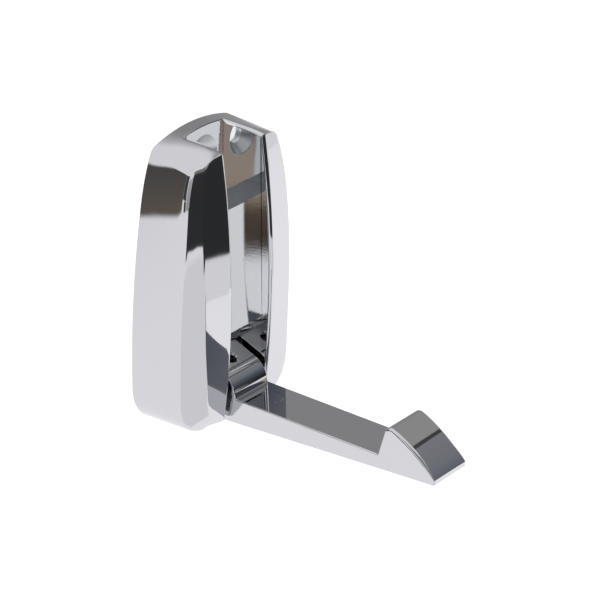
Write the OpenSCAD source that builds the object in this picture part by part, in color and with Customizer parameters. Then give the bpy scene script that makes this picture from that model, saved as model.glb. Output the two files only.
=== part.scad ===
// Folding coat hook: a die-cast housing for a wall, with an arm that folds up between its cheeks.
// Millimetres. X is across, -Y points out from the wall, Z is up.
// The origin is on the wall face, on the centre line, level with the hinge pin.

/* [Housing at the wall] */
// Width of the housing at the wall
housing_w = 44.6; // [42:0.1:50]
// Height from the hinge pin up to the top of the housing
housing_top = 63.3; // [60:0.1:72]
// Depth from the hinge pin down to the bottom of the housing
housing_bottom = 6.9; // [6.7:0.1:8.5]
// Depth from the wall to the front of the housing
housing_d = 17.7; // [17.4:0.1:19]
// Radius of the two bottom corners
bottom_corner_r = 10.4; // [6:0.1:14]
// Inward lean that each side reaches at its upper end, in degrees
side_lean = 11.8; // [8:0.1:13]
// Radius of the shoulder above each side
shoulder_r = 47; // [25:1:55]
// Inward lean that the shoulder reaches, in degrees
shoulder_lean = 25; // [18:0.5:30]
// Radius of the two top corners
top_corner_r = 2.9; // [2.5:0.1:5]
// Lean at which each top corner meets the top, in degrees
top_lean = 73; // [66:0.5:78]

/* [Housing at its side edge] */
// Distance from the wall to the edge between side and bevel
edge_out = 12.35; // [11.5:0.05:13]
// Width of the housing at that edge
edge_w = 38.8; // [37:0.1:41]
// Corner radius at the bottom of that edge
edge_corner_r = 8; // [5:0.1:11]
// Lean of that edge at the upper end of the side, in degrees
edge_lean = 6.3; // [4:0.1:9]
// How far that edge dips below the outline at the wall
edge_drop = 0.6; // [0:0.1:1]

/* [Front faces] */
// Width across both front faces
face_w = 30.8; // [30:0.1:32]
// How far the front faces stay below the top
face_top_inset = 1.1; // [0.5:0.1:2]
// How far the front faces stay above the bottom
face_bottom_inset = 0.3; // [0:0.1:1]
// Corner radius at the bottom of the front faces
face_corner_r = 10.3; // [8:0.1:11]
// Angle at which each front face falls back from the channel, in degrees
face_fall = 9; // [7:0.5:10]
// The same angle at the foot of the front
foot_fall = 1; // [0:0.5:5]
// Height from which the full angle is reached
full_fall_z = 20; // [16:0.5:26]
// Radius of the shallow bow that the front follows from bottom to top
front_bow_r = 238; // [220:1:400]
// Height at which the front stands out furthest
front_bow_z = 30; // [26:1:36]

/* [Channel] */
// Gap between the arm and each cheek
side_gap = 0.9; // [0.6:0.05:1.2]
// Distance from the wall to the face of the channel floor
floor_out = 7.6; // [7.2:0.1:8]
// Thickness of the channel floor
floor_t = 2; // [1.6:0.1:2.2]
// Distance from the wall to the face of the deep pocket at the top
pocket_out = 3.7; // [3.6:0.05:3.8]
// Height at which the deep pocket starts
pocket_start = 42.2; // [38:0.1:44]
// Thickness of the two webs beside the channel
web_t = 2; // [1.8:0.1:2.4]
// Casting wall of the hollow cheeks
wall_t = 2; // [1.6:0.1:2.4]
// Depth of the foot below the hinge where the bottom wall starts
foot_wall_top = 4.5; // [4.4:0.1:5]
// Width of the shallow recess under the front of the cheeks, at its crown
recess_w = 24.2; // [22:0.1:25]
// Depth of the crown of that recess below the hinge
recess_crown = 5.4; // [5:0.1:6.2]

/* [Hinge] */
// Distance from the wall to the hinge pin
pin_out = 10.9; // [10.8:0.02:11]
// Diameter of the hinge pin
pin_d = 4; // [3:0.1:4.4]
// How far the pin stands past each web
pin_past_web = 0.5; // [0.2:0.1:1]
// Outer diameter of the two friction washers
washer_d = 9; // [7:0.1:11]

/* [Arm] */
// Width of the arm
arm_w = 12; // [11.6:0.1:12]
// Radius of the round barrel at the hinge
barrel_r = 6.35; // [6.3:0.01:6.4]
// Greatest reach of the barrel's nose from the hinge
nose_r = 9.4; // [9.1:0.05:9.5]
// Slope of the nose's flat, in degrees
nose_slope = 22; // [18:0.5:24]
// How far the nose goes back from the hinge
nose_back = 4.2; // [4:0.05:4.3]
// Height of the arm's top above the hinge, at the barrel
arm_top = 0.2; // [0:0.05:0.4]
// Distance from the hinge to the tip
tip_out = 63.2; // [61:0.1:65]
// Distance from the tip back to the notch where a coat hangs
hook_run = 15.8; // [15:0.1:18]
// Depth of the notch below the hinge
notch_drop = 0.56; // [0.2:0.02:0.8]
// Outward lean of the hook's inner face, in degrees
hook_lean = 14.5; // [8:0.5:18]
// Radius of the rounded ridge of the hook
ridge_r = 1.9; // [1.6:0.1:2.2]
// Radius of the hook's outer slope
slope_r = 33; // [30:0.5:36]
// Depth of the tip's upper corner below the hinge
tip_drop = 2.06; // [1.6:0.02:2.2]
// Height of the tip's end face
tip_t = 1.45; // [1.2:0.05:1.8]
// Steepness of the outer slope at the tip, in degrees
tip_angle = 50.1; // [48.5:0.1:50.5]

/* [Back plate and fasteners] */
// Thickness of the steel back plate
plate_t = 1.2; // [1:0.05:1.25]
// Width of the casting's rim around the back plate
rim_t = 1.2; // [1:0.05:1.5]
// Thickness of the plate's two ears
ear_t = 1.2; // [0.8:0.1:1.4]
// Diameter of the plate screws
plate_screw_d = 2.5; // [2:0.1:2.6]
// Length of the plate screws
plate_screw_l = 6; // [5:0.5:8]
// Distance of the plate screws from the centre line
plate_screw_x = 12.4; // [12:0.1:12.8]
// Height of the lower pair of plate screws
plate_screw_low = 9; // [8:0.5:14]
// Height of the upper pair of plate screws
plate_screw_high = 50; // [44:0.5:51]
// Diameter of the hole for the wall screw
wall_hole_d = 4.5; // [4:0.1:4.5]
// Diameter of that hole's countersink
wall_sink_d = 9; // [8:0.1:9]
// Height of the wall screw above the hinge
wall_hole_z = 56.2; // [54:0.1:57]
// Diameter of the keyhole's round opening
keyhole_d = 8.6; // [7.5:0.1:9]
// Width of the keyhole's slot
keyhole_slot_w = 4.6; // [4:0.1:5]
// Height of the keyhole's round opening
keyhole_z = 17; // [15:0.5:22]
// Rise of the keyhole's slot above the round opening
keyhole_rise = 9; // [6:0.5:12]
// Diameter of the set screw in the barrel
set_screw_d = 3; // [2.5:0.1:4]
// Length of the set screw
set_screw_l = 3.6; // [3:0.1:4]
// Diameter of the chamfer at the mouth of the set screw's hole
set_mouth_d = 3.8; // [3.2:0.1:4.6]

/* [Hidden] */
$fn = 64;
cut = 1;
run_gap = 0.05;
seat_gap = 0.02;
stop_gap = 0.1;
// How far the pin's slots and the screws' threaded holes reach past what they hold
end_gap = 0.2;
thread_run = 1;
// Turn of the outline's bottom arc, and the straight steps that each of the six arcs is made of
base_turn = 4;
arc_steps = [3, 8, 10, 4, 5, 4];
// Belly below the widest point, at the wall, at the side edge and at the front faces
wall_belly = 0.2;
edge_belly = 0.4;
face_belly = 4.4;
// Lean of the front faces' outline at the upper end of the side
face_lean = 3.1;
// Shoulder and top corner of the side edge and of the front faces, each as radius and lean
edge_shoulder = [30, 19.7];
edge_top_corner = [3.9, 62.6];
face_shoulder = [57, 15.2];
face_top_corner = [3.5, 80];
// How far the side edge stays below the top
edge_top_inset = 0.1;
// Height over which the fall of the front faces grows
fall_run = 24;
// Height of the front's inner edge at the channel, as a share of the front faces' height
ridge_share = 0.985;
// How much wider the recess under the front is at its mouth, on each side
recess_flare = 0.8;
// How far the hollow runs past the side edge
hollow_past_edge = 0.4;
// Screw bosses, heads, cross slots and hex sockets as shares of the screw's diameter
boss_share = 2.2;
head_share = 1.9;
cross_slot = [0.5, 1.4, 2.6];
socket_share = 0.58;
pin_bevel = 0.4;
// How far the tip's lower corner lies behind its upper one
tip_back = 0.1;
chrome = [0.78, 0.79, 0.81];
steel = [0.62, 0.63, 0.64];
channel_x = arm_w / 2 + side_gap;
web_x = channel_x + web_t;
pin_x = web_x + pin_past_web;
slot_x = pin_x + end_gap;
recess_mouth = recess_w / 2 + recess_flare;

// Outline of the housing in front view
// An outline is a chain of six arcs that touch smoothly, from the bottom centre to the top centre.
// o = [half width, bottom z, top z, corner r, belly, side lean, shoulder r, shoulder lean,
//      top corner r, top lean]. The bottom, side and top radii follow from the width and height.
function inset(o, t) = [o[0] - t, o[1] + t, o[2] - t, o[3] - t, o[4], o[5], o[6] - t, o[7],
                        o[8] - t, o[9]];
function headings(o) = [0, base_turn, 90 - o[4], 90 + o[5], 90 + o[7], 90 + o[9], 180];
function run_x(o, r_side) = o[0] + r_side * (cos(o[5]) - 1) + o[6] * (cos(o[7]) - cos(o[5]))
                            + o[8] * (cos(o[9]) - cos(o[7]));
function base_w(o) = o[0] - o[3] * (cos(o[4]) - sin(base_turn));
function side_r(o) =
    let (rise = (1 - cos(base_turn)) / sin(base_turn), q = (1 - sin(o[9])) / cos(o[9]))
    (o[2] - o[1] - rise * base_w(o) - o[3] * (cos(base_turn) - sin(o[4]))
     - o[6] * (sin(o[7]) - sin(o[5])) - o[8] * (sin(o[9]) - sin(o[7])) - q * run_x(o, 0))
    / (sin(o[4]) + sin(o[5]) + q * (cos(o[5]) - 1) - rise * (1 - cos(o[4])));
function radii(o) =
    let (rs = side_r(o))
    [(base_w(o) - rs * (1 - cos(o[4]))) / sin(base_turn), o[3], rs, o[6], o[8],
     run_x(o, rs) / cos(o[9])];
function arc_move(h0, h1, r) = r * [sin(h1) - sin(h0), cos(h0) - cos(h1)];
function arc_start(o, i) = i == 0 ? [0, o[1]]
    : arc_start(o, i - 1) + arc_move(headings(o)[i - 1], headings(o)[i], radii(o)[i - 1]);
function half_outline(o) =
    let (h = headings(o), r = radii(o))
    [for (i = [0:5])
        let (p = arc_start(o, i), step = (h[i + 1] - h[i]) / arc_steps[i])
        for (j = [0:arc_steps[i] - 1]) p + arc_move(h[i], h[i] + step * j, r[i])];
function outline(o) =
    let (right = half_outline(o), n = len(right))
    concat(right, [[0, o[2]]], [for (i = [n - 1:-1:1]) [-right[i][0], right[i][1]]]);

at_wall = [housing_w / 2, -housing_bottom, housing_top, bottom_corner_r, wall_belly, side_lean,
           shoulder_r, shoulder_lean, top_corner_r, top_lean];
at_edge = concat([edge_w / 2, -housing_bottom - edge_drop, housing_top - edge_top_inset,
                  edge_corner_r, edge_belly, edge_lean], edge_shoulder, edge_top_corner);
at_face = concat([face_w / 2, -housing_bottom + face_bottom_inset, housing_top - face_top_inset,
                  face_corner_r, face_belly, face_lean], face_shoulder, face_top_corner);

// Front of the housing
// The front's distance from the wall at height z, along the channel
function front(z) = housing_d - front_bow_r + sqrt(pow(front_bow_r, 2) - pow(z - front_bow_z, 2));
// How much the front falls back at height z, per unit of distance from the channel
function fall_k(z) =
    let (t = min(max((full_fall_z - z) / fall_run, 0), 1))
    tan(face_fall - (face_fall - foot_fall) * t * t * (3 - 2 * t));
function face_point(p) =
    [p[0], -front(p[1]) + fall_k(p[1]) * max(0, abs(p[0]) - channel_x), p[1]];
face_mid = (at_face[1] + at_face[2]) / 2;
function ridge_point(p) =
    let (z = face_mid + ridge_share * (p[1] - face_mid))
    [p[0] * channel_x / at_face[0], -front(z), z];
function ring(points, out) = [for (p = points) [p[0], -out, p[1]]];

// A closed solid through rings of points that run the same way round
module loft(rings) {
    n = len(rings[0]);
    last = len(rings) - 1;
    points = [for (r = rings) for (p = r) p];
    walls = [for (k = [0:last - 1]) for (i = [0:n - 1])
        let (a = k * n + i, b = k * n + (i + 1) % n)
        each [[a, b + n, b], [a, a + n, b + n]]];
    ends = [for (k = [0, last]) for (i = [0:n / 2 - 1])
        let (a = k * n + i, b = k * n + (i + 1) % n, c = k * n + (n - i - 1) % n, d = k * n + (n - i) % n)
        each (k == 0 ? [[a, b, c], [a, c, d]] : [[a, c, b], [a, d, c]])];
    faces = [for (f = concat(walls, ends)) if (f[0] != f[1] && f[1] != f[2] && f[0] != f[2]) f];
    polyhedron(points, faces);
}

// Children are drawn as (distance from the wall, height) and run across the part
module across(width) {
    rotate([90, 0, -90]) linear_extrude(width, center = true) children();
}

// Children are drawn as (across, height) and run out from the wall
module outward(from, to) {
    translate([0, -from, 0]) rotate([90, 0, 0]) linear_extrude(to - from) children();
}

module rod(r, x0, x1) {
    translate([x0, 0, 0]) rotate([0, 90, 0]) cylinder(r = r, h = x1 - x0);
}

module at_hinge() {
    translate([0, -pin_out, 0]) children();
}

module at_plate_screws() {
    for (x = [-plate_screw_x, plate_screw_x])
        for (z = [plate_screw_low, plate_screw_high])
            translate([x, 0, z]) children();
}

module skin() {
    face = outline(at_face);
    loft([ring(outline(at_wall), 0), ring(outline(at_edge), edge_out),
          [for (p = face) face_point(p)], [for (p = face) ridge_point(p)]]);
}

module hollow() {
    loft([ring(outline(inset(at_wall, wall_t)), -cut),
          ring(outline(inset(at_edge, wall_t)), edge_out - wall_t),
          ring(outline(inset(at_face, wall_t)), edge_out + hollow_past_edge)]);
}

// Side view of what closes the channel: its floor, the deep pocket's floor and the foot wall.
// The floor's lower edge runs along the flat of the arm's nose, which stops against it.
function nose_line(out) =
    (barrel_r + stop_gap - sin(nose_slope) * (out - pin_out)) / cos(nose_slope);
module channel_floor() {
    floor_back = floor_out - floor_t;
    polygon([[floor_out, nose_line(floor_out)], [floor_out, pocket_start], [pocket_out, pocket_start],
             [pocket_out, housing_top + cut], [plate_t, housing_top + cut],
             [plate_t, pocket_start - floor_t], [floor_back, pocket_start - floor_t],
             [floor_back, nose_line(floor_back)]]);
}
module foot_wall() {
    translate([0, -housing_bottom - cut]) square([pocket_out, housing_bottom + cut - foot_wall_top]);
}
module channel_space() {
    across(2 * channel_x) difference() {
        translate([-cut, -housing_bottom - 2 * cut])
            square([housing_d + 2 * cut, housing_top + housing_bottom + 4 * cut]);
        channel_floor();
        foot_wall();
    }
}

module housing() {
    color(chrome) difference() {
        skin();
        difference() {
            hollow();
            cube([2 * web_x, 3 * housing_d, 3 * housing_top], center = true);
            over_recess();
            at_plate_screws() rotate([90, 0, 0]) cylinder(d = boss_share * plate_screw_d, h = housing_d);
        }
        channel_space();
        outward(-cut, plate_t) polygon(outline(inset(at_wall, rim_t)));
        at_hinge() rod(pin_d / 2 + run_gap, -slot_x, slot_x);
        translate([-slot_x, -pin_out, -pin_d / 2 - run_gap])
            cube([2 * slot_x, pin_out, pin_d + 2 * run_gap]);
        at_plate_screws() rotate([90, 0, 0])
            cylinder(d = plate_screw_d + 2 * seat_gap, h = plate_screw_l + thread_run);
        wall_hole();
        foot_recess();
    }
}

// Shallow recess under the front, and the block of the hollow that stays solid above it
module foot_recess() {
    crown = recess_w / 2;
    low = housing_bottom + edge_drop + cut;
    outward(pocket_out, housing_d + cut)
        polygon([[-recess_mouth, -low], [recess_mouth, -low], [crown, -recess_crown],
                 [-crown, -recess_crown]]);
}
module over_recess() {
    top = wall_t - recess_crown;
    translate([-recess_mouth - wall_t, -2 * housing_d, top - housing_top])
        cube([2 * (recess_mouth + wall_t), 3 * housing_d, housing_top]);
}

// Countersunk hole for the wall screw, straight through where it meets the back plate
module wall_hole() {
    sink = (wall_sink_d - wall_hole_d) / 2;
    translate([0, 0, wall_hole_z]) rotate([90, 0, 0]) {
        translate([0, 0, -cut]) cylinder(d = wall_hole_d, h = pocket_out + 2 * cut);
        translate([0, 0, pocket_out - sink]) cylinder(d1 = wall_hole_d, d2 = wall_sink_d, h = sink);
    }
}

module back_plate() {
    ear_x = channel_x + (web_t - ear_t) / 2;
    color(steel) difference() {
        union() {
            outward(0, plate_t) polygon(outline(inset(at_wall, rim_t + run_gap)));
            for (x = [-ear_x - ear_t, ear_x])
                translate([x, -pin_out + pin_d / 2 + run_gap, -pin_d / 2 + run_gap])
                    cube([ear_t, pin_out - pin_d / 2 - run_gap - plate_t / 2, pin_d - 2 * run_gap]);
        }
        translate([0, 0, wall_hole_z]) rotate([90, 0, 0]) translate([0, 0, -cut])
            cylinder(d = wall_hole_d, h = plate_t + 2 * cut);
        outward(-cut, plate_t + cut) {
            translate([0, keyhole_z]) circle(d = keyhole_d);
            translate([0, keyhole_z + keyhole_rise]) circle(d = keyhole_slot_w);
            translate([-keyhole_slot_w / 2, keyhole_z]) square([keyhole_slot_w, keyhole_rise]);
        }
        at_plate_screws() plate_screw_shape(run_gap);
    }
}

// A countersunk screw, with its head flush with the wall face
module plate_screw_shape(gap) {
    head_d = head_share * plate_screw_d + 2 * gap;
    shank_d = plate_screw_d + 2 * gap;
    rotate([90, 0, 0]) {
        cylinder(d1 = head_d, d2 = shank_d, h = (head_d - shank_d) / 2);
        cylinder(d = shank_d, h = plate_screw_l);
    }
}

module plate_screws() {
    color(steel) at_plate_screws() difference() {
        plate_screw_shape(0);
        for (turn = [0, 90])
            rotate([0, turn, 0]) cube(cross_slot, center = true);
    }
}

// Arm in side view, as (distance from the hinge, height above it)
function arc_points(c, r, a0, a1, steps) =
    [for (i = [0:steps]) c + r * [cos(a0 + (a1 - a0) * i / steps), sin(a0 + (a1 - a0) * i / steps)]];

// The outer slope is an arc that ends at the tip, and the ridge is a smaller arc inside it that
// touches both the slope and the hook's inner face.
slope_c = [tip_out, -tip_drop] - slope_r * [cos(90 - tip_angle), sin(90 - tip_angle)];
notch = [tip_out - hook_run, -notch_drop];
face_dir = [sin(hook_lean), cos(hook_lean)];
face_normal = [cos(hook_lean), -sin(hook_lean)];
from_slope = notch + ridge_r * face_normal - slope_c;
ridge_run = -from_slope * face_dir
    + sqrt(pow(from_slope * face_dir, 2) - from_slope * from_slope + pow(slope_r - ridge_r, 2));
ridge_c = notch + ridge_r * face_normal + ridge_run * face_dir;
ridge_touch = atan2(ridge_c[1] - slope_c[1], ridge_c[0] - slope_c[0]);
tip_bottom = [tip_out - tip_back, -tip_drop - tip_t];
under_slope = atan2(tip_bottom[1] + barrel_r, tip_bottom[0]);

module beam() {
    polygon(concat([[0, arm_top], notch], arc_points(ridge_c, ridge_r, 180 - hook_lean, ridge_touch, 8),
                   arc_points(slope_c, slope_r, ridge_touch, 90 - tip_angle, 12),
                   [tip_bottom, barrel_r * [sin(under_slope), -cos(under_slope)]]));
}

module nose() {
    touch = barrel_r * [sin(nose_slope), cos(nose_slope)];
    intersection() {
        polygon([[0, 0], touch, touch + 2 * barrel_r * [-cos(nose_slope), sin(nose_slope)],
                 [-nose_back - barrel_r, 0]]);
        translate([-nose_back, 0]) square([2 * barrel_r, 2 * barrel_r]);
        circle(r = nose_r);
    }
}

module arm() {
    mouth_z = barrel_r / cos(nose_slope);
    mouth_h = (set_mouth_d - set_screw_d) / 2;
    color(chrome) at_hinge() difference() {
        union() {
            rod(barrel_r, -arm_w / 2, arm_w / 2);
            across(arm_w) nose();
            across(arm_w) beam();
        }
        rod(pin_d / 2 + seat_gap, -arm_w, arm_w);
        cylinder(d = set_screw_d + 2 * seat_gap, h = 2 * barrel_r);
        translate([0, 0, mouth_z]) rotate([nose_slope, 0, 0]) translate([0, 0, -mouth_h])
            cylinder(d1 = set_screw_d, d2 = set_mouth_d + 2 * mouth_h, h = 2 * mouth_h);
    }
}

module pivot_pin() {
    straight = pin_x - pin_bevel;
    color(steel) at_hinge() {
        rod(pin_d / 2, -straight, straight);
        for (turn = [-90, 90])
            rotate([0, turn, 0]) translate([0, 0, straight])
                cylinder(r1 = pin_d / 2, r2 = pin_d / 2 - pin_bevel, h = pin_bevel);
    }
}

module pivot_set_screw() {
    color("dimgray") at_hinge() translate([0, 0, pin_d / 2]) difference() {
        cylinder(d = set_screw_d, h = set_screw_l);
        translate([0, 0, set_screw_l - set_screw_d / 2])
            cylinder(d = socket_share * set_screw_d, h = set_screw_d, $fn = 6);
    }
}

module friction_washer(side) {
    centre = side * (arm_w + side_gap) / 2;
    half_t = side_gap / 2 - run_gap;
    color("dimgray") at_hinge() difference() {
        rod(washer_d / 2, centre - half_t, centre + half_t);
        rod(pin_d / 2 + run_gap, centre - side_gap, centre + side_gap);
    }
}

housing();
back_plate();
plate_screws();
arm();
pivot_pin();
pivot_set_screw();
friction_washer(-1);  // friction_washer_left
friction_washer(1);  // friction_washer_right
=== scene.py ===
from math import asin, atan2, cos, degrees, pi, radians, sin, sqrt, tan

import bmesh
import bpy
from mathutils import Matrix, Vector


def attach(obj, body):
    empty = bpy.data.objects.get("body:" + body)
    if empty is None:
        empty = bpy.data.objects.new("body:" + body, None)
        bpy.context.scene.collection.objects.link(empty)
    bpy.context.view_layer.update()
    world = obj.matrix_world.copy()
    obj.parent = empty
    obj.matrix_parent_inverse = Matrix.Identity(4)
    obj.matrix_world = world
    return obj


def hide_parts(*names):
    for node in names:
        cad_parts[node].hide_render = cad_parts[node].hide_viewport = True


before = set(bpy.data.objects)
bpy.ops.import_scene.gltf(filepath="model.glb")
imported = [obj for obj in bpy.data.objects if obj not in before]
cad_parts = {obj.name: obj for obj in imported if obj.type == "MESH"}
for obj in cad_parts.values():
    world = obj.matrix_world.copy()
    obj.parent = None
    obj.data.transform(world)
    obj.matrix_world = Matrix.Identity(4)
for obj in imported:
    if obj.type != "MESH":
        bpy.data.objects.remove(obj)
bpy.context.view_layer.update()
scene = bpy.context.scene

# Lengths below are millimetres in the CAD frame: X across, -Y out from the wall, Z up from the pin.
MM = 0.001


# Camera, solved from the photo's straight edges
def put_camera():
    data = bpy.data.cameras.new("camera")
    data.lens, data.sensor_width = 188.4, 36
    data.clip_start, data.clip_end = 0.05, 30
    cam = bpy.data.objects.new("camera", data)
    scene.collection.objects.link(cam)
    cam.location = Vector((-504.535, -428.295, 331.796)) * MM
    look = Vector((0, -31.496, 27.577)) * MM - cam.location
    cam.rotation_euler = look.to_track_quat("-Z", "Y").to_euler()
    scene.camera = cam


put_camera()

# Sizes of the housing
HOUSING_D, EDGE_OUT = 17.7, 12.35
FRONT_BOW_R, FRONT_BOW_Z = 238, 30
FACE_FALL, FOOT_FALL, FULL_FALL_Z, FALL_RUN = 9, 1, 20, 24
CHANNEL_X, WEB_X = 6.9, 8.9
FLOOR_OUT, FLOOR_T, POCKET_OUT, POCKET_START = 7.6, 2.0, 3.7, 42.2
PLATE_T, RIM_T, WALL_T = 1.2, 1.2, 2.0
RECESS_W, RECESS_CROWN, RECESS_FLARE, RECESS_MOUTH_Z = 24.2, 5.4, 0.8, -7.5
BASE_TURN = radians(4)
# Half width, bottom, top, corner r, belly, side lean, shoulder r, its lean, top corner r, its lean
AT_WALL = (22.295, -6.9, 63.28, 10.4, 0.2, 11.8, 47, 25, 2.9, 73)
AT_EDGE = (19.4, -7.5, 63.2, 8, 0.4, 6.3, 30, 19.7, 3.9, 62.6)
AT_FACE = (15.4, -6.6, 62.2, 10.3, 4.4, 3.1, 57, 15.2, 3.5, 80)
# Straight steps in each of an outline's six arcs, and how many points that makes
ARC_STEPS = (6, 18, 36, 16, 14, 8)
STATIONS = sum(ARC_STEPS) + 1
# Distances from the wall at which a cheek's side has its points
SIDE_OUT = (0, 1.4, 2.6, 3.4, 3.9, 4.4, 4.9, 6, 7.5, 9, 10.3)

# Rounds of the housing: between side and bevel, and along the channel
EDGE_SETBACK, ARRIS_R = 1.1, 0.8
# The channel's round starts this far behind the pocket's floor and is full after this run
ARRIS_LEAD, ARRIS_RUN = 0.3, 1.5
# Between bevel and front: its size along the side, how much wider it is at the foot, and over
# how many points of the outline
FACE_SETBACK, FOOT_SETBACK, FOOT_ROWS = 0.32, 0.9, 26
# Along the channel floor's two edges, the pocket's rim, and the recess at its crown and mouth
LIP, RIM_R, CROWN_R, MOUTH_R = 0.25, 0.3, 0.7, 0.5
# The outer shell stops this many arris radii beside the channel. Its rows end there, this far
# inside the front's bottom and top, and are spaced evenly by this share.
BORDER_SHARE, END_GAP, EVEN_SHARE = 1.1, 2.5, 0.25
# The hollow reaches this far out past the bevel's start
HOLLOW_PAST = 0.4

# Sizes of the hinge and the holes
PIN_OUT, PIN_R, RUN_GAP, SEAT_GAP, STOP_GAP = 10.9, 2.0, 0.05, 0.02, 0.1
# The saddles reach this far past the webs
SADDLE_PAST = 0.7
SLOT_X, SLOT_R = WEB_X + SADDLE_PAST, PIN_R + RUN_GAP
WALL_SCREW_Z, WALL_SCREW_R, SINK_R = 56.2, 2.25, 4.72
PLATE_SCREWS = [(x, z) for x in (-12.4, 12.4) for z in (9, 50)]
PLATE_SCREW_R, BOSS_R = 1.27, 2.75

# Sizes of the arm
ARM_W, ARM_TOP = 12, 0.2
BARREL_R, NOSE_SLOPE, NOSE_BACK = 6.35, radians(22), 4.2
TIP_OUT, TIP_DROP, TIP_T, TIP_BACK, TIP_ANGLE = 63.2, 2.06, 1.45, 0.1, 50.1
HOOK_RUN, NOTCH_DROP, HOOK_LEAN, RIDGE_R, SLOPE_R = 15.8, 0.56, 14.5, 1.9, 33
# Rounds of its section: the tip's two corners, the notch, the beam's start and the nose
TIP_LOW_R, TIP_TOP_R, NOTCH_R, BACK_R, NOSE_R = 0.45, 0.4, 0.45, 0.3, 0.3
# Points of the section nearer to each other than this are left out
POINT_GAP = 0.02
# Round on its side edges, and what is added to it towards the tip and on the hook
SIDE_R, TIP_MORE, HOOK_MORE = 0.22, 0.1, 0.45
SET_SCREW_R = 1.52
# The ring mark: its middle, its radius, and its groove's radius and height above the surface
MARK_X, MARK_OUT, MARK_R, GROOVE_R, GROOVE_UP = 0.3, 11.9, 2.82, 0.09, 0.035

# Mesh helpers
SMOOTH_ANGLE, MERGE = radians(30), 1e-6
FACING_OUT = Matrix.Rotation(radians(90), 4, "X")  # turns +Z to -Y, out from the wall
ALONG_X = Matrix.Rotation(radians(90), 4, "Y")  # turns +Z to +X


def clamp(x):
    return min(max(x, 0), 1)


def clean(obj):
    """Merges doubles, turns the faces outwards and sets which edges stay sharp."""
    bm = bmesh.new()
    bm.from_mesh(obj.data)
    bmesh.ops.remove_doubles(bm, verts=bm.verts, dist=MERGE)
    bmesh.ops.dissolve_degenerate(bm, edges=bm.edges, dist=MERGE)
    bmesh.ops.recalc_face_normals(bm, faces=bm.faces)
    bm.to_mesh(obj.data)
    bm.free()
    obj.data.shade_smooth()
    obj.data.set_sharp_from_angle(angle=SMOOTH_ANGLE)


def add_piece(name, verts, faces):
    mesh = bpy.data.meshes.new(name)
    mesh.from_pydata([Vector(v) * MM for v in verts], [], faces)
    obj = bpy.data.objects.new(name, mesh)
    scene.collection.objects.link(obj)
    clean(obj)
    return obj


def apply_modifiers(obj):
    mesh = bpy.data.meshes.new_from_object(obj.evaluated_get(bpy.context.evaluated_depsgraph_get()))
    obj.modifiers.clear()
    old, obj.data = obj.data, mesh
    bpy.data.meshes.remove(old)


def settle(obj):
    """Weights the vertex normals by face area, so that flats stay flat beside their rounds."""
    mod = obj.modifiers.new("settle", "WEIGHTED_NORMAL")
    mod.mode, mod.weight, mod.keep_sharp = "FACE_AREA", 100, True
    apply_modifiers(obj)


def carve(obj, tool, operation="DIFFERENCE"):
    """Cuts tool out of obj, or joins it on with UNION, and deletes tool."""
    mod = obj.modifiers.new("carve", "BOOLEAN")
    mod.operation, mod.solver, mod.object = operation, "EXACT", tool
    apply_modifiers(obj)
    bpy.data.objects.remove(tool)


def loft(name, rings):
    """A closed solid through rings of points that have the same count."""
    n, last = len(rings[0]), len(rings) - 1
    faces = [(k * n + i, k * n + (i + 1) % n, (k + 1) * n + (i + 1) % n, (k + 1) * n + i)
             for k in range(last) for i in range(n)]
    faces += [tuple(range(n)), tuple(range(last * n, last * n + n))]
    return add_piece(name, [p for ring in rings for p in ring], faces)


def lathe(name, profile, place, steps):
    """A closed solid turned about its own Z from (radius, height) points, then put in place."""
    turns = [2 * pi * i / steps for i in range(steps)]
    return loft(name, [[place @ Vector((r * cos(a), r * sin(a), h)) for a in turns]
                       for r, h in profile])


def bar_across(name, section, half):
    """A closed bar along X from (distance from the wall, height) points."""
    return loft(name, [[(x, -out, z) for out, z in section] for x in (-half, half)])


def box_mm(name, low, high):
    x0, y0, z0 = low
    x1, y1, z1 = high
    verts = [(x, y, z) for x in (x0, x1) for y in (y0, y1) for z in (z0, z1)]
    faces = [(0, 1, 3, 2), (4, 6, 7, 5), (0, 4, 5, 1), (2, 3, 7, 6), (0, 2, 6, 4), (1, 5, 7, 3)]
    return add_piece(name, verts, faces)


def arc(centre, r, a0, a1, steps):
    """Points of an arc, angles in degrees."""
    turns = [radians(a0 + (a1 - a0) * i / steps) for i in range(steps + 1)]
    return [Vector((centre[0] + r * cos(a), centre[1] + r * sin(a))) for a in turns]


def round_corner(a, b, c, setback_a, setback_c, steps):
    """Points of a round that replaces corner b between a and c, from near a to near c."""
    da, dc = a - b, c - b
    p0, p2 = b + da.normalized() * setback_a, b + dc.normalized() * setback_c
    w = cos((pi - da.angle(dc)) / 2)
    points = []
    for i in range(steps + 1):
        u = i / steps
        k0, k1, k2 = (1 - u) ** 2, 2 * u * (1 - u) * w, u * u
        points.append((p0 * k0 + b * k1 + p2 * k2) / (k0 + k1 + k2))
    return points


def corner(a, b, c, r):
    """A round of radius r at b, between a and c."""
    back = r / tan((a - b).angle(c - b) / 2)
    return round_corner(a, b, c, back, back, 6)


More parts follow.
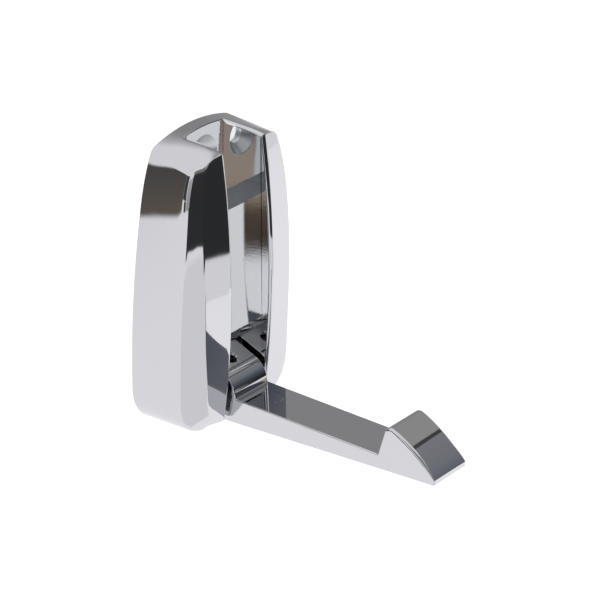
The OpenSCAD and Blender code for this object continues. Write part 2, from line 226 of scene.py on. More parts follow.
# Housing outline
def arcs_of(o):
    """The six arcs of an outline, from the bottom centre to the top centre, each as where it
    starts, the headings at its two ends, and its radius."""
    half, low, top, r1, belly, lean, r3, lean3, r4, lean4 = o
    belly, lean, lean3, lean4 = map(radians, (belly, lean, lean3, lean4))
    h = [0, BASE_TURN, pi / 2 - belly, pi / 2 + lean, pi / 2 + lean3, pi / 2 + lean4, pi]
    rise = (1 - cos(BASE_TURN)) / sin(BASE_TURN)
    q = (1 - sin(lean4)) / cos(lean4)
    base = half - r1 * (cos(belly) - sin(BASE_TURN))

    def run(r):
        return (half + r * (cos(lean) - 1) + r3 * (cos(lean3) - cos(lean))
                + r4 * (cos(lean4) - cos(lean3)))

    side = ((top - low - rise * base - r1 * (cos(BASE_TURN) - sin(belly))
             - r3 * (sin(lean3) - sin(lean)) - r4 * (sin(lean4) - sin(lean3)) - q * run(0))
            / (sin(belly) + sin(lean) + q * (cos(lean) - 1) - rise * (1 - cos(belly))))
    radii = [(base - side * (1 - cos(belly))) / sin(BASE_TURN), r1, side, r3, r4,
             run(side) / cos(lean4)]
    x, z, arcs = 0.0, low, []
    for i, r in enumerate(radii):
        arcs.append((x, z, h[i], h[i + 1], r))
        x += r * (sin(h[i + 1]) - sin(h[i]))
        z += r * (cos(h[i]) - cos(h[i + 1]))
    return arcs


def half_outline(o, x_from):
    """Points of the right half of an outline, between its two crossings of x = x_from."""
    arcs, counts, points = arcs_of(o), list(ARC_STEPS), []
    if arcs[1][0] < x_from:
        # The bottom arc ends inside the channel, so the corner's arc takes over its points
        arcs, counts = arcs[1:], [counts[0] + counts[1]] + counts[2:]
    last = len(arcs) - 1
    for i, (x, z, h0, h1, r) in enumerate(arcs):
        a0 = asin(sin(h0) + (x_from - x) / r) if i == 0 else h0
        a1 = pi - asin(sin(h0) + (x_from - x) / r) if i == last else h1
        for j in range(counts[i] + (i == last)):
            a = a0 + (a1 - a0) * j / counts[i]
            points.append((x + r * (sin(a) - sin(h0)), z + r * (cos(h0) - cos(a))))
    return points


def full_outline(o):
    right = half_outline(o, 0)
    return right + [(-x, z) for x, z in right[-2:0:-1]]


def inset(o, t):
    return (o[0] - t, o[1] + t, o[2] - t, o[3] - t, o[4], o[5], o[6] - t, o[7], o[8] - t, o[9])


# Right cheek
def front_y(x, z):
    """The front faces: one shallow bow from bottom to top, falling back from the channel by an
    angle that grows from the foot upwards."""
    sag = FRONT_BOW_R - sqrt(FRONT_BOW_R ** 2 - (z - FRONT_BOW_Z) ** 2)
    t = clamp((FULL_FALL_Z - z) / FALL_RUN)
    fall = FACE_FALL - (FACE_FALL - FOOT_FALL) * t * t * (3 - 2 * t)
    return sag - HOUSING_D + tan(radians(fall)) * (abs(x) - CHANNEL_X)


def front_point(start, end, s):
    """The front face's point a share s of the way from start to end, both as (x, z)."""
    x, z = start[0] + (end[0] - start[0]) * s, start[1] + (end[1] - start[1]) * s
    return Vector((x, front_y(x, z), z))


def arris_radius(y):
    """The round along the channel's edge starts where the top rim's band ends."""
    return ARRIS_R * clamp((-y - POCKET_OUT + ARRIS_LEAD) / ARRIS_RUN)


def side_columns():
    """Points of the side, as one column along the outline for each distance from the wall."""
    columns = []
    for out in SIDE_OUT:
        x_from, f = CHANNEL_X + BORDER_SHARE * arris_radius(-out), out / EDGE_OUT
        wall_line, edge_line = half_outline(AT_WALL, x_from), half_outline(AT_EDGE, x_from)
        columns.append([Vector((w[0] + (e[0] - w[0]) * f, -out, w[1] + (e[1] - w[1]) * f))
                        for w, e in zip(wall_line, edge_line)])
    return columns


def shell_rows():
    """The outer shell, as one row of points from the wall over side, bevel and front to the channel
    for each point of the outline."""
    x_in = CHANNEL_X + BORDER_SHARE * ARRIS_R
    columns, edge, face = side_columns(), half_outline(AT_EDGE, x_in), half_outline(AT_FACE, x_in)
    z_low, z_high = face[0][1], face[-1][1]
    rows = []
    for t in range(STATIONS):
        e = Vector((edge[t][0], -EDGE_OUT, edge[t][1]))
        f = Vector((face[t][0], front_y(*face[t]), face[t][1]))
        # A row ends partly at an even share of the height, but mostly at its own height
        spread = (EVEN_SHARE * t / (STATIONS - 1)
                  + (1 - EVEN_SHARE) * (face[t][1] - z_low) / (z_high - z_low))
        start = (f.x, f.z)
        end = (x_in, z_low + END_GAP + (z_high - z_low - 2 * END_GAP) * spread)
        span = sqrt((end[0] - f.x) ** 2 + (end[1] - f.z) ** 2)
        setback = FACE_SETBACK + FOOT_SETBACK * max(0, 1 - t / FOOT_ROWS) ** 2
        first = min(setback / span, 0.4)
        after = front_point(start, end, first)
        row = [column[t] for column in columns]
        row += round_corner(row[-1], e, f, EDGE_SETBACK, min(EDGE_SETBACK, (f - e).length * 0.4), 8)
        last = row[-1]
        before = min(setback, (f - last).length * 0.7)
        flat = (f - last) * (1 - before / (f - last).length)
        row += [last + flat / 3, last + flat * 2 / 3]
        row += round_corner(e, f, after, before, (after - f).length, 6)
        row += [front_point(start, end, first + (1 - first) * k / 9) for k in range(1, 10)]
        rows.append(row)
    return rows


def outward_normals(verts, faces, border, middle):
    """Normals of the shell along its border, turned so that the one at middle looks out from the
    wall."""
    bm = bmesh.new()
    made = [bm.verts.new(v) for v in verts]
    for f in faces:
        bm.faces.new([made[k] for k in f])
    bm.normal_update()
    flip = -1 if made[middle].normal.y > 0 else 1
    normals = {k: made[k].normal * flip for k in border}
    bm.free()
    return normals


def arris_rings(verts, border, normals):
    """Rings that carry the border round to the channel's wall, and one a little way in on that
    wall. Their points are added to verts."""
    rings, steps, inward = [border], 6, Vector((-1, 0, 0))
    for k in range(1, steps + 2):
        ring = []
        for b in border:
            p, out = verts[b], normals[b].copy()
            if p.y > -0.001:
                out.y = 0
                out.normalize()
            r = arris_radius(p.y)
            centre = p - out * r
            full = out.angle(inward)
            a = full * min(k, steps) / steps
            q = centre + (out * sin(full - a) + inward * sin(a)) / sin(full) * r
            if k >= steps:
                q.x = CHANNEL_X
            if k > steps:
                back = Vector((0, centre.y - p.y, centre.z - p.z))
                q += back.normalized() * 0.05 if back.length > 1e-6 else back
            ring.append(len(verts))
            verts.append(q)
        rings.append(ring)
    return rings


def make_cheek():
    """Right cheek as one closed solid: side, bevel and front, with rounded edges, and the flat
    wall that faces the channel."""
    rows = shell_rows()
    n, m = len(rows), len(rows[0])
    verts = [p for row in rows for p in row]
    faces = [(i * m + j, (i + 1) * m + j, (i + 1) * m + j + 1, i * m + j + 1)
             for i in range(n - 1) for j in range(m - 1)]
    border = list(range(m)) + [i * m + m - 1 for i in range(1, n)]
    border += [(n - 1) * m + j for j in range(m - 2, -1, -1)]
    normals = outward_normals(verts, faces, border, (n // 2) * m + m - 1)
    rings = arris_rings(verts, border, normals)
    for a, b in zip(rings, rings[1:]):
        for i in range(len(border) - 1):
            faces.append((a[i], a[i + 1], b[i + 1], b[i]))
    faces.append(tuple(rings[-1]))
    back = [i * m for i in range(n)] + [r[-1] for r in rings[1:]] + [r[0] for r in rings[:0:-1]]
    faces.append(tuple(back))
    return verts, faces


# Channel, recess and hollow
def top_of_rim(x, y):
    """Height of the housing's top near the centre line, x across and y out from the wall."""
    ends = []
    for o in (AT_WALL, AT_EDGE):
        cx, cz, h0, _, r = arcs_of(o)[5]
        a = pi - asin(sin(h0) + (abs(x) - cx) / r)
        ends.append(cz + r * (cos(h0) - cos(a)))
    return ends[0] + (ends[1] - ends[0]) * -y / EDGE_OUT


def rim_plate():
    """The deep pocket's floor and the top rim above it, with a round along its front edge."""
    low, steps = 40.0, 5
    # Points along the top, as (y, how far below the top)
    top = [(0, 0), (-1.4, 0), (-2.6, 0)]
    top += [(-POCKET_OUT + RIM_R * (1 - sin(a)), RIM_R * (1 - cos(a)))
            for a in [pi / 2 * k / steps for k in range(steps + 1)]]
    top.append((-POCKET_OUT, RIM_R + 0.06))
    across = [CHANNEL_X * (k / 8 - 1) for k in range(17)]
    return loft("rim", [[(x, y, top_of_rim(x, y) - drop) for y, drop in top]
                        + [(x, -POCKET_OUT, low), (x, 0, low)] for x in across])


def nose_line(out):
    """Height of the channel floor's lower edge, which the arm's nose stops against."""
    return (BARREL_R + STOP_GAP - sin(NOSE_SLOPE) * (out - PIN_OUT)) / cos(NOSE_SLOPE)


def channel_floor():
    back, edge = FLOOR_OUT - FLOOR_T, FLOOR_OUT - LIP
    return bar_across("floor", [
        (FLOOR_OUT, nose_line(FLOOR_OUT) + LIP), (FLOOR_OUT, POCKET_START - LIP),
        (FLOOR_OUT - 0.07, POCKET_START - 0.07), (edge, POCKET_START),
        (0, POCKET_START), (0, POCKET_START - FLOOR_T), (back, POCKET_START - FLOOR_T),
        (back, nose_line(back)), (edge, nose_line(edge))], CHANNEL_X)


def foot_wall():
    top, low = -4.5, -6.95
    return bar_across("foot", [(0, low + 0.06), (POCKET_OUT, low), (POCKET_OUT, top), (0, top)],
                      CHANNEL_X)


def recess_under_front():
    """The shallow recess under the front, with rounded edges."""
    crown = Vector((RECESS_W / 2, -RECESS_CROWN))
    mouth = Vector((RECESS_W / 2 + RECESS_FLARE, RECESS_MOUTH_Z))
    beside = Vector((mouth.x + 4, mouth.y - 0.6))
    side = corner(Vector((0, crown.y)), crown, mouth, CROWN_R)
    side += corner(crown, mouth, beside, MOUTH_R)
    side += [beside, Vector((beside.x, RECESS_MOUTH_Z - 2))]
    outline = side + [Vector((-p.x, p.y)) for p in side[::-1]]
    return loft("recess", [[(p.x, y, p.y) for p in outline] for y in (-POCKET_OUT, -25)])


def plate_seat():
    """The seat of the back plate."""
    seat = full_outline(inset(AT_WALL, RIM_T))
    return loft("seat", [[(x, y, z) for x, z in seat] for y in (1, -PLATE_T)])


def hollow_cheeks():
    """What is hollow in both cheeks. The webs, a block over the recess and the screw bosses are cut
    out of it, so they stay solid. The block takes one box on each side."""
    levels = ((AT_WALL, 1), (AT_EDGE, WALL_T - EDGE_OUT), (AT_FACE, -EDGE_OUT - HOLLOW_PAST))
    hollow = loft("hollow", [[(x, y, z) for x, z in full_outline(inset(o, WALL_T))]
                             for o, y in levels])
    # The boxes' far ends, such as -30 and 90, only have to lie beyond the casting
    carve(hollow, box_mm("webs", (-WEB_X, -30, -30), (WEB_X, 5, 90)))
    reach, top = RECESS_W / 2 + RECESS_FLARE + WALL_T, WALL_T - RECESS_CROWN
    for x in (-reach, WEB_X - 1):
        carve(hollow, box_mm("over_recess", (x, -40, -30), (x + reach - WEB_X + 1, 5, top)))
    for x, z in PLATE_SCREWS:
        boss = Matrix.Translation((x, 2, z)) @ FACING_OUT
        carve(hollow, lathe("boss", [(BOSS_R, 0), (BOSS_R, 30)], boss, 32))
    return hollow


def cut_holes(housing):
    """The pin's saddles, the plate screws' holes and the wall screw's countersunk hole."""
    along = Matrix.Translation((-SLOT_X, -PIN_OUT, 0)) @ ALONG_X
    carve(housing, lathe("saddle", [(SLOT_R, 0), (SLOT_R, 2 * SLOT_X)], along, 48))
    carve(housing, box_mm("slot", (-SLOT_X, -PIN_OUT, -SLOT_R), (SLOT_X, 1, SLOT_R)))
    for x, z in PLATE_SCREWS:
        hole = Matrix.Translation((x, 1, z)) @ FACING_OUT
        carve(housing, lathe("screw_hole", [(PLATE_SCREW_R, 0), (PLATE_SCREW_R, 8)], hole, 32))
    # The countersink's cone ends in a small round at its mouth
    mouth = [(WALL_SCREW_R, -1), (WALL_SCREW_R, POCKET_OUT - 2.25), (4.38, POCKET_OUT - 0.12),
             (4.46, POCKET_OUT - 0.06), (4.56, POCKET_OUT - 0.02), (SINK_R, POCKET_OUT + 0.004),
             (SINK_R, POCKET_OUT + 1)]
    hole = Matrix.Translation((0, 0, WALL_SCREW_Z)) @ FACING_OUT
    carve(housing, lathe("countersink", mouth, hole, 96))


def make_housing():
    verts, faces = make_cheek()
    housing = add_piece("housing_casting", verts, faces)
    carve(housing, add_piece("left", [(-v.x, v.y, v.z) for v in verts], faces), "UNION")
    for make in (rim_plate, channel_floor, foot_wall):
        carve(housing, make(), "UNION")
    for make in (recess_under_front, plate_seat, hollow_cheeks):
        carve(housing, make())
    cut_holes(housing)
    clean(housing)
    settle(housing)
    return housing


# Arm
def arm_section():
    """Side view of the arm, as (distance from the pin, height above it), turning left."""
    # The ridge is a small arc inside the outer slope's arc, and touches the hook's leaning face
    tip_turn = radians(90 - TIP_ANGLE)
    slope_c = Vector((TIP_OUT - SLOPE_R * cos(tip_turn), -TIP_DROP - SLOPE_R * sin(tip_turn)))
    notch = Vector((TIP_OUT - HOOK_RUN, -NOTCH_DROP))
    lean = radians(HOOK_LEAN)
    up, outward = Vector((sin(lean), cos(lean))), Vector((cos(lean), -sin(lean)))
    start = notch + RIDGE_R * outward - slope_c
    run = -start.dot(up) + sqrt(start.dot(up) ** 2 - start.dot(start) + (SLOPE_R - RIDGE_R) ** 2)
    ridge_c = notch + RIDGE_R * outward + run * up
    touch = degrees(atan2(ridge_c.y - slope_c.y, ridge_c.x - slope_c.x))
    slope = arc(slope_c, SLOPE_R, 90 - TIP_ANGLE, touch, 40)
    ridge = arc(ridge_c, RIDGE_R, touch, 180 - HOOK_LEAN, 20)
    # The underside touches the barrel
    tip_top = Vector((TIP_OUT, -TIP_DROP))
    tip_low = Vector((TIP_OUT - TIP_BACK, -TIP_DROP - TIP_T))
    under = atan2(tip_low.y + BARREL_R, tip_low.x)
    low_touch = BARREL_R * Vector((sin(under), -cos(under)))
    # Barrel and nose
    top_back = Vector((sqrt(BARREL_R ** 2 - ARM_TOP ** 2), ARM_TOP))
    barrel = arc((0, 0), BARREL_R, 0, 90 - degrees(NOSE_SLOPE), 24)
    flat_start = BARREL_R * Vector((sin(NOSE_SLOPE), cos(NOSE_SLOPE)))
    flat_end = Vector((-NOSE_BACK, flat_start.y + (flat_start.x + NOSE_BACK) * tan(NOSE_SLOPE)))
    rear_low = Vector((-NOSE_BACK, sqrt(BARREL_R ** 2 - NOSE_BACK ** 2)))
    barrel_rear = degrees(atan2(rear_low.y, rear_low.x))
    # The nose's last round heads for a point 8 degrees on along the barrel
    rear_turn = radians(barrel_rear + 8)
    on_barrel = BARREL_R * Vector((cos(rear_turn), sin(rear_turn)))
    points = [low_touch, low_touch.lerp(tip_low, 0.5)]
    points += corner(low_touch, tip_low, tip_top, TIP_LOW_R)
    points += corner(tip_low, tip_top, slope[3], TIP_TOP_R)
    points += slope[2:] + ridge[1:]
    points += corner(ridge[-1], notch, top_back, NOTCH_R)
    points += corner(notch, top_back, barrel[2], BACK_R)
    points += barrel[3:]
    points += corner(flat_start, flat_end, rear_low, NOSE_R)
    points += corner(flat_end, rear_low, on_barrel, NOSE_R)
    points += arc((0, 0), BARREL_R, barrel_rear + 6, 270, 40)
    kept = [points[0]]
    for p in points[1:]:
        if (p - kept[-1]).length > POINT_GAP:
            kept.append(p)
    return kept


def arm_edge_r(p):
    """Round on the arm's side edges: a little larger towards the tip, and largest on the hook."""
    on_hook = clamp((p.x - (TIP_OUT - HOOK_RUN) + 0.5) / 2) * clamp((p.y + 1.5) / 3)
    return SIDE_R + TIP_MORE * clamp(p.x / 45) + HOOK_MORE * on_hook


def rounded_bar(name, section, edge_r, half):
    """A bar along X from a closed section, with a round of radius edge_r(point) on its side
    edges."""
    n, steps = len(section), 5
    inward = []
    for i in range(n):
        a, b, c = section[i - 1], section[i], section[(i + 1) % n]
        n0 = Vector((-(b - a).y, (b - a).x)).normalized()
        n1 = Vector((-(c - b).y, (c - b).x)).normalized()
        inward.append((n0 + n1) / (1 + n0.dot(n1)))
    rings = []
    for k in range(steps + 2):
        a = pi / 2 * min(k, steps) / steps
        ring = []
        for p, d in zip(section, inward):
            r = edge_r(p)
            q = p + d * (r * (1 - cos(a)) + (0.03 if k > steps else 0))
            ring.append((half - r * (1 - sin(a)), -PIN_OUT - q.x, q.y))
        rings.append(ring)
    rings = [[(-x, y, z) for x, y, z in ring] for ring in rings[::-1]] + rings
    return loft(name, rings)


def ring_mark():
    """A faint ring left by the ejector pin of the casting die."""
    top_z = ARM_TOP - (ARM_TOP + NOTCH_DROP) * MARK_OUT / (TIP_OUT - HOOK_RUN)
    verts, faces, n, m = [], [], 72, 8
    for i in range(n):
        for j in range(m):
            a, b = 2 * pi * i / n, 2 * pi * j / m
            r = MARK_R + GROOVE_R * cos(b)
            verts.append((MARK_X + r * cos(a), -PIN_OUT - MARK_OUT + r * sin(a),
                          top_z + GROOVE_UP + GROOVE_R * sin(b)))
            faces.append((i * m + j, (i + 1) % n * m + j, (i + 1) % n * m + (j + 1) % m,
                          i * m + (j + 1) % m))
    return add_piece("mark", verts, faces)


def make_arm():
    arm = rounded_bar("arm_casting", arm_section(), arm_edge_r, ARM_W / 2)
    at_pin = Matrix.Translation((0, -PIN_OUT, 0))
    bore_r = PIN_R + SEAT_GAP
    carve(arm, lathe("bore", [(bore_r, -9), (bore_r, 9)], at_pin @ ALONG_X, 64))
    carve(arm, lathe("set_screw_hole", [(SET_SCREW_R, 0), (SET_SCREW_R, 12)], at_pin, 48))
    # The chamfer is square to the nose's flat
    flat_z = BARREL_R / cos(NOSE_SLOPE)
    tilt = at_pin @ Matrix.Translation((0, 0, flat_z)) @ Matrix.Rotation(NOSE_SLOPE, 4, "X")
    carve(arm, lathe("chamfer", [(1.45, -0.45), (1.9, 0.0), (2.2, 0.3)], tilt, 48))
    carve(arm, ring_mark())
    clean(arm)
    settle(arm)
    return arm


# Materials
SWELL_SIZE = 7  # size of a metal's slow unevenness
NOISE_ENDS = (0.35, 0.65)  # the slow noise's values where a roughness is lowest and highest


def srgb(code):
    """A hex colour as linear red, green and blue, with alpha 1."""
    parts = [int(code[i:i + 2], 16) / 255 for i in (1, 3, 5)]
    return (*[c / 12.92 if c <= 0.04045 else ((c + 0.055) / 1.055) ** 2.4 for c in parts], 1)


def node(tree, kind, links=None, **settings):
    """Adds a node. Settings are its properties or input values, and links its linked inputs."""
    made = tree.nodes.new(kind)
    for key, value in settings.items():
        if hasattr(made, key):
            setattr(made, key, value)
        else:
            made.inputs[key.replace("_", " ")].default_value = value
    for key, source in (links or {}).items():
        tree.links.new(source, made.inputs[key])
    return made


def new_material(name):
    mat = bpy.data.materials.new(name)
    mat.use_nodes = True
    tree = mat.node_tree
    tree.nodes.clear()
    return mat, tree, node(tree, "ShaderNodeOutputMaterial")


def metal(name, colour, rough, grain, depth, wave=0.0):
    """Plated or bare metal. rough is its lowest and highest roughness, grain and depth are its
    grain's size and depth in mm, and wave is the depth of the slow swell from buffing in mm."""
    mat, tree, out = new_material(name)
    where = node(tree, "ShaderNodeTexCoord").outputs["Object"]
    fine = node(tree, "ShaderNodeTexNoise", {"Vector": where}, Scale=1 / (grain * MM), Detail=3.0)
    slow = node(tree, "ShaderNodeTexNoise", {"Vector": where}, Scale=1 / (SWELL_SIZE * MM),
                Detail=2.0)
    gloss = node(tree, "ShaderNodeMapRange", {"Value": slow.outputs["Fac"]},
                 From_Min=NOISE_ENDS[0], From_Max=NOISE_ENDS[1], To_Min=rough[0], To_Max=rough[1])
    normal = node(tree, "ShaderNodeBump", {"Height": fine.outputs["Fac"]}, Strength=1.0,
                  Distance=depth * MM).outputs["Normal"]
    if wave:
        normal = node(tree, "ShaderNodeBump", {"Height": slow.outputs["Fac"], "Normal": normal},
                      Strength=1.0, Distance=wave * MM).outputs["Normal"]
    shader = node(tree, "ShaderNodeBsdfPrincipled",
                  {"Roughness": gloss.outputs["Result"], "Normal": normal},
                  Base_Color=srgb(colour), Metallic=1.0)
    tree.links.new(shader.outputs["BSDF"], out.inputs["Surface"])
    return mat


def nylon():
    """Moulded black nylon: matt, with a faint mould grain."""
    mat, tree, out = new_material("black_nylon_moulded")
    where = node(tree, "ShaderNodeTexCoord").outputs["Object"]
    grain = node(tree, "ShaderNodeTexNoise", {"Vector": where}, Scale=1 / (0.25 * MM), Detail=2.0)
    bump = node(tree, "ShaderNodeBump", {"Height": grain.outputs["Fac"]}, Strength=1.0,
                Distance=0.005 * MM)
    shader = node(tree, "ShaderNodeBsdfPrincipled", {"Normal": bump.outputs["Normal"]},
                  Base_Color=srgb("#1c1c1e"), Roughness=0.55)
    tree.links.new(shader.outputs["BSDF"], out.inputs["Surface"])
    return mat


# Bright nickel-chrome on a buffed zinc die casting: a near mirror with a faint buffing swell
CHROME = metal("chrome_on_buffed_zinc", "#cbcbd0", (0.03, 0.05), 0.5, 0.0, wave=0.004)
# The same plating over the cast skin that no wheel reaches: a grainy, softer shine, with its colour
# painted brighter than the buffed chrome's to lift the shade in the channel
CAST_CHROME_PAINTED_BRIGHT = metal("chrome_on_cast_skin_painted_brighter", "#e4e5e7", (0.015, 0.04), 0.4, 0.0025)
# The nose's flat, the ledge and the countersink keep the die's coarser grain, which scatters light;
# their colour is painted as bright as the cast skin's, brighter than the buffed chrome
GRAINY_CHROME_PAINTED_BRIGHT = metal("chrome_on_grainy_cast_skin_painted_brighter", "#e4e5e7", (0.3, 0.45), 0.3, 0.015)
# Zinc-plated sheet steel: pale blue-grey, dull, with a slight rolling unevenness
ZINC_SHEET = metal("zinc_plated_sheet_steel", "#b9bfc4", (0.28, 0.4), 0.3, 0.004)
# Zinc-plated screws: as the sheet, a little brighter
ZINC_SCREW = metal("zinc_plated_screw_steel", "#c2c6c8", (0.22, 0.34), 0.2, 0.003)
# Ground steel pin: smooth and grey
GROUND_PIN = metal("ground_steel_pin", "#a9abae", (0.12, 0.2), 0.15, 0.001)
# Black-oxide set screw: nearly black, oily sheen
BLACK_OXIDE = metal("black_oxide_steel", "#26272a", (0.3, 0.42), 0.15, 0.002)
NYLON = nylon()

# Studio
FLOOR_Z, FLOOR_FRONT, FLOOR_FAR = -150, -325, 4000
# How bright the white room is for diffuse light, and for the camera and mirrors
ROOM_LIGHT, ROOM_WHITE = 0.8, 1.0
# The paper's own grey, and what it glows for the camera and mirrors
PAPER_GREY, PAPER_GLOW = 0.85, 0.32
# A card stands at this distance from its centre, and each next one a step further
CARD_DISTANCE, CARD_STEP, CARD_CENTRE = 900, 8, Vector((0, -20, 25))
# A low card's distances are in this unit from y = LOW_Y, and each next one lies a step lower
LOW_UNIT, LOW_Y, LOW_Z, LOW_STEP = 6.5, -17, FLOOR_Z + 20, 0.6
CARD_GRID = (24, 12)
CARDS = []


def camera_or_mirror(tree):
    """1 for rays from the camera, and for those that metal or glass sends on."""
    ray = node(tree, "ShaderNodeLightPath").outputs
    both = node(tree, "ShaderNodeMath", {0: ray["Is Camera Ray"], 1: ray["Is Glossy Ray"]},
                operation="MAXIMUM")
    return node(tree, "ShaderNodeMath", {0: both.outputs[0], 1: ray["Is Transmission Ray"]},
                operation="MAXIMUM").outputs[0]


def make_world():
    world = bpy.data.worlds.new("white_studio")
    world.use_nodes = True
    tree = world.node_tree
    tree.nodes.clear()
    out = node(tree, "ShaderNodeOutputWorld")
    strength = node(tree, "ShaderNodeMapRange", {"Value": camera_or_mirror(tree)},
                    To_Min=ROOM_LIGHT, To_Max=ROOM_WHITE)
    back = node(tree, "ShaderNodeBackground", {"Strength": strength.outputs["Result"]},
                Color=(1, 1, 1, 1))
    tree.links.new(back.outputs[0], out.inputs["Surface"])
    scene.world = world


def make_floor():
    x, y = FLOOR_FAR, FLOOR_FRONT
    verts = [(-x, y, FLOOR_Z), (x, y, FLOOR_Z), (x, FLOOR_FAR, FLOOR_Z), (-x, FLOOR_FAR, FLOOR_Z)]
    obj = add_piece("floor", verts, [(0, 1, 2, 3)])
    mat, tree, out = new_material("white_paper_sweep")
    paper = node(tree, "ShaderNodeBsdfDiffuse", Color=(PAPER_GREY, PAPER_GREY, PAPER_GREY, 1))
    share = node(tree, "ShaderNodeMath", {0: camera_or_mirror(tree)}, operation="MULTIPLY")
    share.inputs[1].default_value = PAPER_GLOW
    glow = node(tree, "ShaderNodeEmission", {"Strength": share.outputs[0]}, Color=(1, 1, 1, 1))
    both = node(tree, "ShaderNodeAddShader", {0: paper.outputs[0], 1: glow.outputs[0]})
    tree.links.new(both.outputs[0], out.inputs["Surface"])
    obj.data.materials.append(mat)


def toward(azimuth, elevation):
    """A direction in degrees: azimuth 0 is in front of the hook (-Y) and 90 at its right (+X)."""
    a, e = radians(azimuth), radians(elevation)
    return Vector((sin(a) * cos(e), -cos(a) * cos(e), sin(e)))


def card_piece(name, azimuths, elevations, low):
    """The card's grid, with coordinates that run from 0 to 1 along both of its sides."""
    verts, faces, (n, m) = [], [], CARD_GRID
    distance = CARD_DISTANCE + CARD_STEP * len(CARDS)
    on_floor = Vector((0, LOW_Y, LOW_Z - LOW_STEP * len(CARDS)))
    for i in range(n + 1):
        for j in range(m + 1):
            u = azimuths[0] + (azimuths[1] - azimuths[0]) * i / n
            v = elevations[0] + (elevations[1] - elevations[0]) * j / m
            verts.append(toward(u, 0) * v * LOW_UNIT + on_floor if low
                         else toward(u, v) * distance + CARD_CENTRE)
    for i in range(n):
        for j in range(m):
            a = i * (m + 1) + j
            faces.append((a, a + 1, a + m + 2, a + m + 1))
    mesh = bpy.data.meshes.new(name)
    mesh.from_pydata([v * MM for v in verts], [], faces)
    uv = mesh.uv_layers.new(name="degrees")
    for loop in mesh.loops:
        i, j = divmod(loop.vertex_index, m + 1)
        uv.data[loop.index].uv = (i / n, j / m)
    obj = bpy.data.objects.new(name, mesh)
    scene.collection.objects.link(obj)
    return obj


def card_material(name, width, height, colours, soft, corner_r):
    """A glow that fades out along the edge of a rounded rectangle."""
    mat, tree, out = new_material(name)
    place = node(tree, "ShaderNodeTexCoord").outputs["UV"]
    # How far past the rectangle's middle part a point is, in degrees
    centred = node(tree, "ShaderNodeVectorMath", {0: place}, operation="MULTIPLY_ADD")
    centred.inputs[1].default_value = (width, height, 0)
    centred.inputs[2].default_value = (-width / 2, -height / 2, 0)
    size = node(tree, "ShaderNodeVectorMath", {0: centred.outputs[0]}, operation="ABSOLUTE")
    past = node(tree, "ShaderNodeVectorMath", {0: size.outputs[0]}, operation="SUBTRACT")
    past.inputs[1].default_value = (width / 2 - corner_r - soft, height / 2 - corner_r - soft, 0)
    past = node(tree, "ShaderNodeVectorMath", {0: past.outputs[0]}, operation="MAXIMUM")
    far = node(tree, "ShaderNodeVectorMath", {0: past.outputs[0]}, operation="LENGTH")
    fade = node(tree, "ShaderNodeMapRange", {"Value": far.outputs["Value"]}, From_Min=corner_r,
                From_Max=corner_r + soft, To_Min=1, To_Max=0, interpolation_type="SMOOTHSTEP")
    split = node(tree, "ShaderNodeSeparateXYZ", {0: place})
    ramp = node(tree, "ShaderNodeValToRGB", {0: split.outputs["Y"]})
    stops = ramp.color_ramp.elements
    stops.remove(stops[1])
    for k, colour in enumerate(colours):
        at = k / max(len(colours) - 1, 1)
        stop = stops[0] if k == 0 else stops.new(at)
        stop.position, stop.color = at, srgb(colour)
    glow = node(tree, "ShaderNodeEmission", {"Color": ramp.outputs["Color"]})
    clear = node(tree, "ShaderNodeBsdfTransparent")
    mix = node(tree, "ShaderNodeMixShader", {0: fade.outputs["Result"], 1: clear.outputs[0],
                                             2: glow.outputs[0]})
    tree.links.new(mix.outputs[0], out.inputs["Surface"])
    return mat


def card(name, azimuths, elevations, colours, soft, corner_r=0, low=False):
    """A curved card round the hook that only reflections see, in degrees. Its colours run evenly
    from the lower edge to the upper. A low card lies on the floor, and its elevations are
    distances from the hook. A card covers the ones that are made after it."""
    CARDS.append(name)
    obj = card_piece(name, azimuths, elevations, low)
    width, height = azimuths[1] - azimuths[0], elevations[1] - elevations[0]
    obj.data.materials.append(card_material(name, width, height, colours, soft, corner_r))
    obj.visible_camera = obj.visible_diffuse = obj.visible_shadow = False


def lamp(name, azimuth, elevation, size, power, distance):
    data = bpy.data.lights.new(name, "AREA")
    data.shape, data.size, data.energy = "SQUARE", size * MM, power
    obj = bpy.data.objects.new(name, data)
    scene.collection.objects.link(obj)
    obj.location = toward(azimuth, elevation) * distance * MM
    obj.rotation_euler = toward(azimuth, elevation).to_track_quat("Z", "Y").to_euler()
    obj.visible_glossy = False


make_world()
make_floor()
# At the left: a big soft light above, and below it a dark stand in three cards beside a pale gap
card("left_flag", (200, 241), (-40, 14.5), ["#565451", "#6d655a", "#545351"], soft=1.5, corner_r=3)
card("left_flag_end", (-120, -95), (-5.5, 15), ["#4a4a4a"], soft=1.5)
card("left_flag_foot", (-109.5, -95), (-14, -4.5), ["#444444"], soft=1.5)
card("side_gap_card", (-94, -67), (-16, 12), ["#a0a0a0", "#c4c4c4"], soft=3)
card("left_softbox", (146, 246), (15, 78), ["#ffffff"], soft=8)
# In front: dark room beyond the white floor, seen by the bevel and the front faces
card("horizon_gap", (42, 64), (-7.5, 6), ["#2a2a2b", "#242424", "#434343"], soft=2)
card("front_flag", (-68, 43), (-18.5, 14), ["#34373b", "#373737", "#3c3c3c"], soft=1)
card("front_left_top", (-68, -20), (12, 24), ["#4d4d4d"], soft=2)
card("front_top_card", (-78, 16), (22, 56), ["#6c6c6c", "#9e9e9e"], soft=4)
# The window that the hook's slope and the barrel show: grey, with a thin dark frame
card("front_window", (19, 70.5), (4, 39.5), ["#3b4046", "#5a626b", "#878a8f", "#929395"],
     soft=1, corner_r=8)
card("window_frame", (17, 72.5), (1, 41.5), ["#4c4c4c"], soft=1, corner_r=9)
card("right_card", (58, 112), (20, 78), ["#a9a8a5"], soft=4)
card("back_right_card", (95, 154), (-18, 66), ["#aaaaaa", "#9b9b9b", "#aaaaaa"], soft=18)
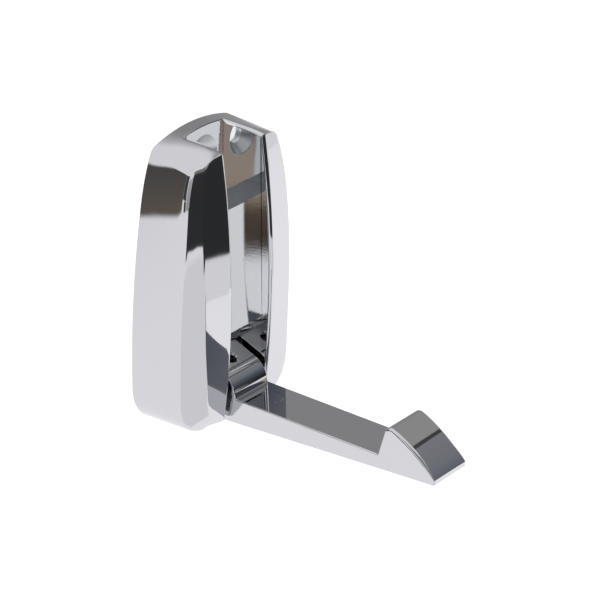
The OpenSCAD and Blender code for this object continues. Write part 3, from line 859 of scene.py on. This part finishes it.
# On the floor: the room beyond the paper's edge, and a painted pool of light that makes the paper
# brightest near the hook in reflections
card("floor_dark_left", (-74, -56), (89, 150), ["#373839"], soft=2, low=True)
card("floor_edge_right", (44, 57), (53.5, 61.5), ["#4a4038", "#6b5d50"], soft=0.6, low=True)
card("brown_boards", (44, 57), (59, 112), ["#b9a999"], soft=2, low=True)
card("floor_dark", (-44, 44), (67.5, 150), ["#343536"], soft=2, low=True)
# A painted pool of light on the paper, a glow that only reflections see
card("floor_painted_light_pool", (-80, 20), (2, 88), ["#f9f9fa"], soft=8, low=True)
lamp("overhead_softbox", -60, 65, 900, 1.2, 1500)
lamp("right_softbox", 62, 50, 500, 1.8, 850)

scene.view_settings.view_transform = "Standard"

housing = make_housing()
arm = make_arm()

# The castings' three finishes, in the order in which dress() adds them; the cast skin and the
# coarse grain are painted brighter than the buffed chrome
BUFFED, CAST_SKIN_PAINTED_BRIGHT, GRAINY_SKIN_PAINTED_BRIGHT = range(3)


def housing_finish(c, n):
    """The channel's walls and floor and the housing's back keep the cast skin, and the channel's
    ledge and the countersink the coarse grain; both have their colour painted brighter than the
    buffed chrome. c is a face's centre in mm and n its normal."""
    in_channel = abs(c.x) < CHANNEL_X + 0.01 and c.y < -0.5 and -5 < c.z < 62.3
    on_ledge = in_channel and n.z > 0.5 and c.z < POCKET_START + 1
    in_sink = sqrt(c.x ** 2 + (c.z - WALL_SCREW_Z) ** 2) < SINK_R and 0.2 < -n.y < 0.95
    if on_ledge or in_sink:
        return GRAINY_SKIN_PAINTED_BRIGHT
    on_wall_or_floor = in_channel and (abs(n.x) > 0.99 or c.y > -8)
    behind = c.y > -5.5 and n.y > 0.3
    return CAST_SKIN_PAINTED_BRIGHT if on_wall_or_floor or behind else BUFFED


def arm_finish(c, n):
    """The flat on the nose keeps the coarse grain, with its colour painted brighter than the buffed
    chrome.
    """
    on_flat = c.z > 4 and c.y > -PIN_OUT - 2.4 and n.z > 0.9 and abs(n.x) < 0.1
    return GRAINY_SKIN_PAINTED_BRIGHT if on_flat else BUFFED


def dress(obj, finish_of):
    """Gives each face of a casting the finish that finish_of names for it."""
    mesh = obj.data
    mesh.materials.clear()
    for finish in (CHROME, CAST_CHROME_PAINTED_BRIGHT, GRAINY_CHROME_PAINTED_BRIGHT):
        mesh.materials.append(finish)
    for face in mesh.polygons:
        face.material_index = finish_of(face.center / MM, face.normal)


dress(housing, housing_finish)
dress(arm, arm_finish)

for piece, body, slot, name in ((housing, "base", "housing_chrome", "housing"),
                                (arm, "swing_arm", "arm_chrome", "arm")):
    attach(piece, body)
    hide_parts(name)

FINISHES = {"back_plate": ZINC_SHEET, "plate_screws": ZINC_SCREW, "pivot_pin": GROUND_PIN,
            "pivot_set_screw": BLACK_OXIDE, "friction_washer_left": NYLON,
            "friction_washer_right": NYLON}
for name, mat in FINISHES.items():
    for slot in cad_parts[name].material_slots:
        slot.material = mat
